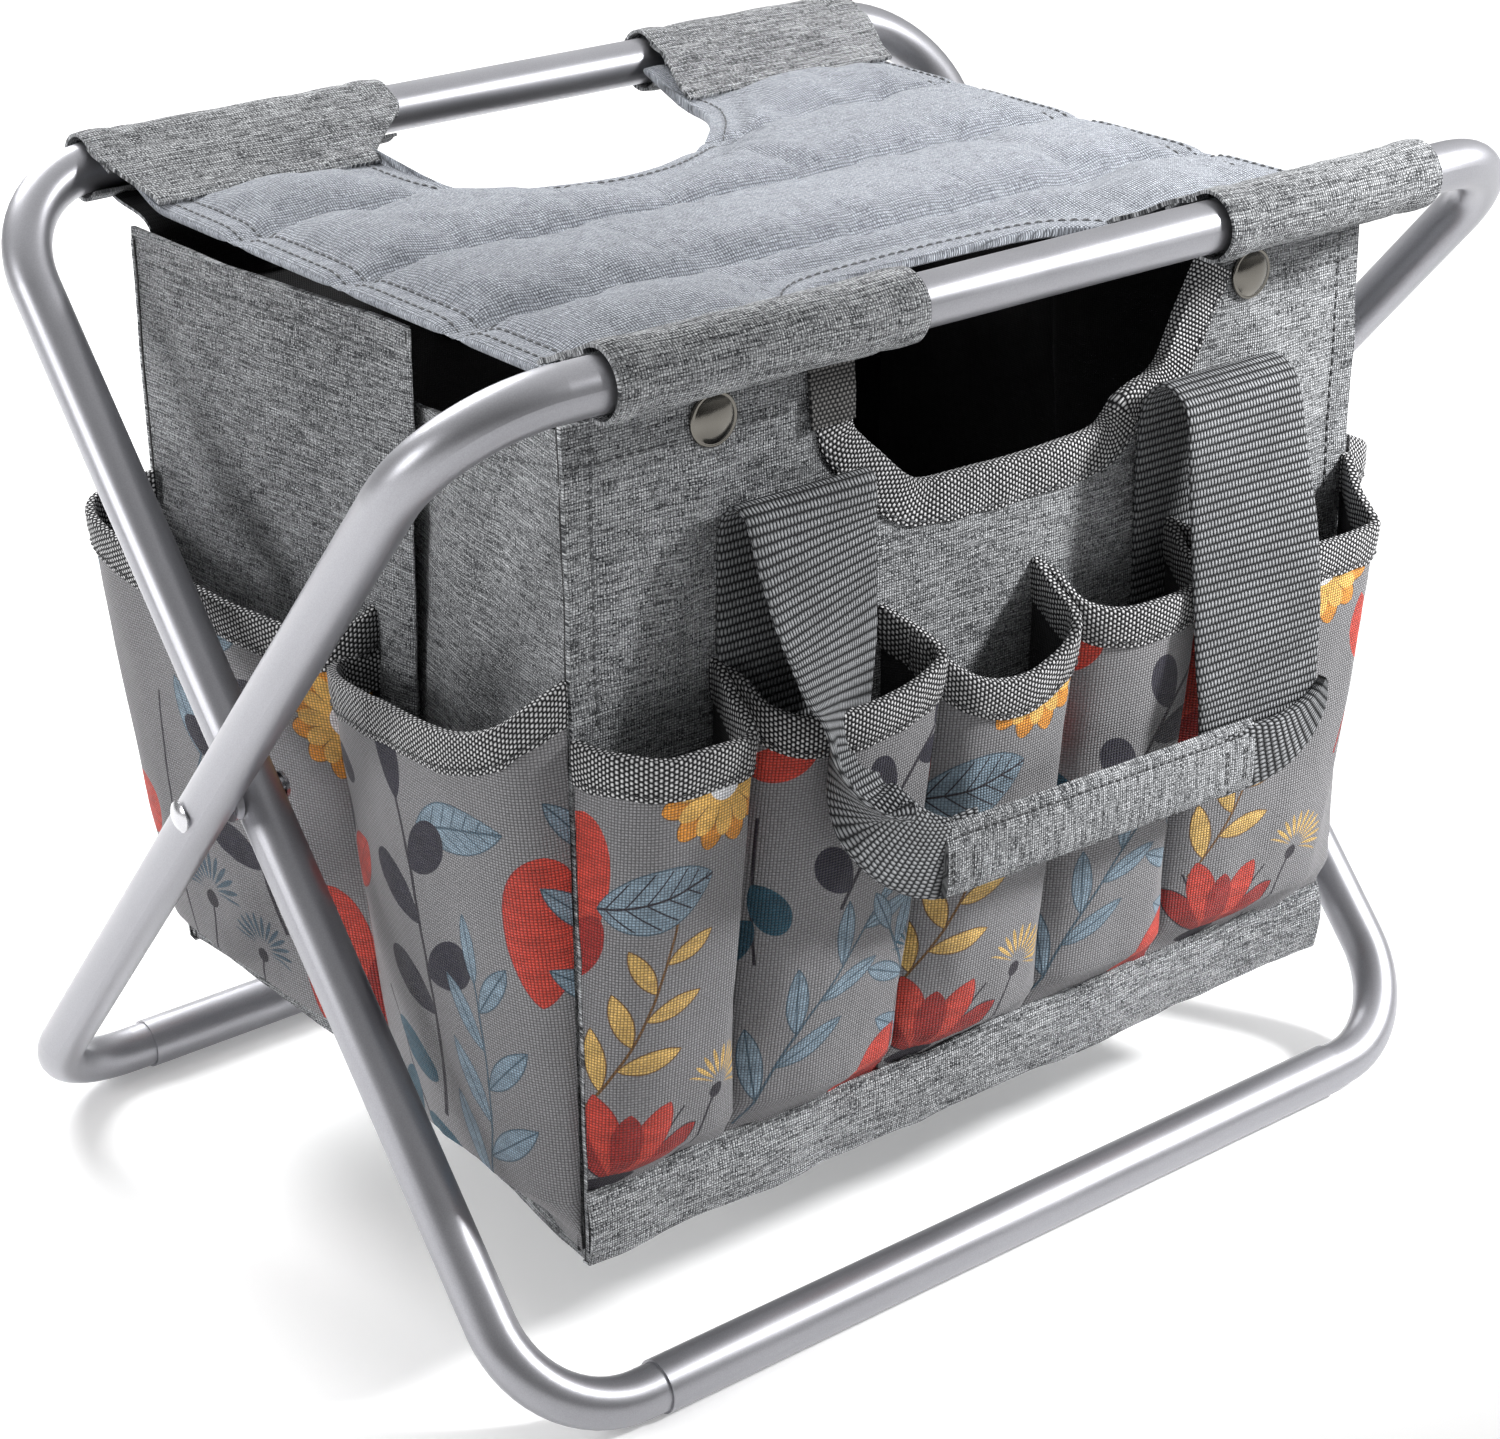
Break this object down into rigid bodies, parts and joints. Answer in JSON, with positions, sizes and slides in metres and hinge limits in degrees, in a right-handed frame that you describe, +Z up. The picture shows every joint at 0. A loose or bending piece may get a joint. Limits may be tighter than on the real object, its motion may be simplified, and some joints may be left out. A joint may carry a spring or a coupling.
{
  "type": "folding garden tool bag stool",
  "caption": "Folding stool on two crossed tube hoops with a padded seat and a hanging pocketed garden tool bag with webbing handles.",
  "frame": {"origin": "on the ground, under the middle of the open stool", "axes": "+X along the seat rails, +Y to the rear, +Z up"},
  "size_m": [0.4404, 0.317, 0.3406],
  "materials": {
    "tube": "satin silver powder coat over steel tube",
    "rivet": "polished rivet heads",
    "spacer": "matt black washer",
    "bag_fabric": "heathered grey woven polyester with a linen look",
    "seat_fabric": "lighter blue-grey heathered polyester, quilted",
    "foam": "thin foam wadding",
    "lining": "matt black lining",
    "binding": "dark grey basket-weave edge tape",
    "printed_fabric": "grey oxford weave with a leaf and flower print",
    "webbing": "dark grey ribbed webbing",
    "snap": "polished nickel caps"
  },
  "bodies": {
    "outer_frame": {"outer_hoop": "tube", "outer_floor_bar": "tube", "pivot_rivet_left": "rivet", "pivot_rivet_right": "rivet", "pivot_spacer_left": "spacer", "pivot_spacer_right": "spacer", "front_sleeve_left": "bag_fabric", "front_sleeve_right": "bag_fabric"},
    "inner_frame": {"inner_hoop": "tube", "inner_floor_bar": "tube", "rear_sleeve_left": "bag_fabric", "rear_sleeve_right": "bag_fabric"},
    "seat": {"seat_cover": "seat_fabric", "seat_padding": "foam"},
    "front_bag": {"front_panel": "bag_fabric", "front_lining": "lining", "front_cutout_binding": "binding", "front_base_band": "bag_fabric", "front_hangers": "bag_fabric", "front_strap_anchors": "webbing", "front_snap_caps": "snap", "front_snap_sockets": "snap", "front_pocket_1": "printed_fabric", "front_pocket_2": "printed_fabric", "front_pocket_3": "printed_fabric", "front_pocket_4": "printed_fabric", "front_pocket_5": "printed_fabric", "front_pocket_bindings": "binding", "gusset_left": "bag_fabric", "gusset_right": "bag_fabric", "bag_bottom": "bag_fabric", "left_front_pocket": "printed_fabric", "left_rear_pocket": "printed_fabric", "right_front_pocket": "printed_fabric", "right_rear_pocket": "printed_fabric", "left_pocket_bindings": "binding", "right_pocket_bindings": "binding"},
    "rear_bag": {"rear_panel": "bag_fabric", "rear_lining": "lining", "rear_cutout_binding": "binding", "rear_base_band": "bag_fabric", "rear_hangers": "bag_fabric", "rear_strap_anchors": "webbing", "rear_snap_caps": "snap", "rear_snap_sockets": "snap", "rear_pocket_1": "printed_fabric", "rear_pocket_2": "printed_fabric", "rear_pocket_3": "printed_fabric", "rear_pocket_4": "printed_fabric", "rear_pocket_5": "printed_fabric", "rear_pocket_bindings": "binding"},
    "front_handle": {"front_handle_webbing": "webbing", "front_handle_grip": "bag_fabric"},
    "rear_handle": {"rear_handle_webbing": "webbing", "rear_handle_grip": "bag_fabric"}
  },
  "joints": [
    {"name": "fold", "type": "hinge", "parent": "outer_frame", "child": "inner_frame", "pos_m": [0, 0, 0.16987], "axis": [1, 0, 0], "range_deg": [0, 66], "deforming": ["seat_cover", "seat_padding", "gusset_left", "gusset_right", "bag_bottom", "left_front_pocket", "left_rear_pocket", "right_front_pocket", "right_rear_pocket", "left_pocket_bindings", "right_pocket_bindings"]},
    {"name": "front_bag_swing", "type": "hinge", "parent": "outer_frame", "child": "front_bag", "pos_m": [0, -0.141, 0.331], "axis": [1, 0, 0], "range_deg": [0, 33]},
    {"name": "rear_bag_swing", "type": "hinge", "parent": "inner_frame", "child": "rear_bag", "pos_m": [0, 0.141, 0.331], "axis": [-1, 0, 0], "range_deg": [0, 33]},
    {"name": "seat_swing", "type": "hinge", "parent": "outer_frame", "child": "seat", "pos_m": [0, -0.141, 0.331], "axis": [1, 0, 0], "range_deg": [0, 33]},
    {"name": "front_handle_lift", "type": "hinge", "parent": "front_bag", "child": "front_handle", "pos_m": [0, -0.15019, 0.26814], "axis": [-1, 0, 0], "range_deg": [0, 160]},
    {"name": "rear_handle_lift", "type": "hinge", "parent": "rear_bag", "child": "rear_handle", "pos_m": [0, 0.15019, 0.26814], "axis": [1, 0, 0], "range_deg": [0, 160]}
  ],
  "couplings": [
    {"joint": "front_bag_swing", "follows": "fold", "ratio": 0.5},
    {"joint": "rear_bag_swing", "follows": "fold", "ratio": 0.5},
    {"joint": "seat_swing", "follows": "fold", "ratio": 0.5}
  ]
}
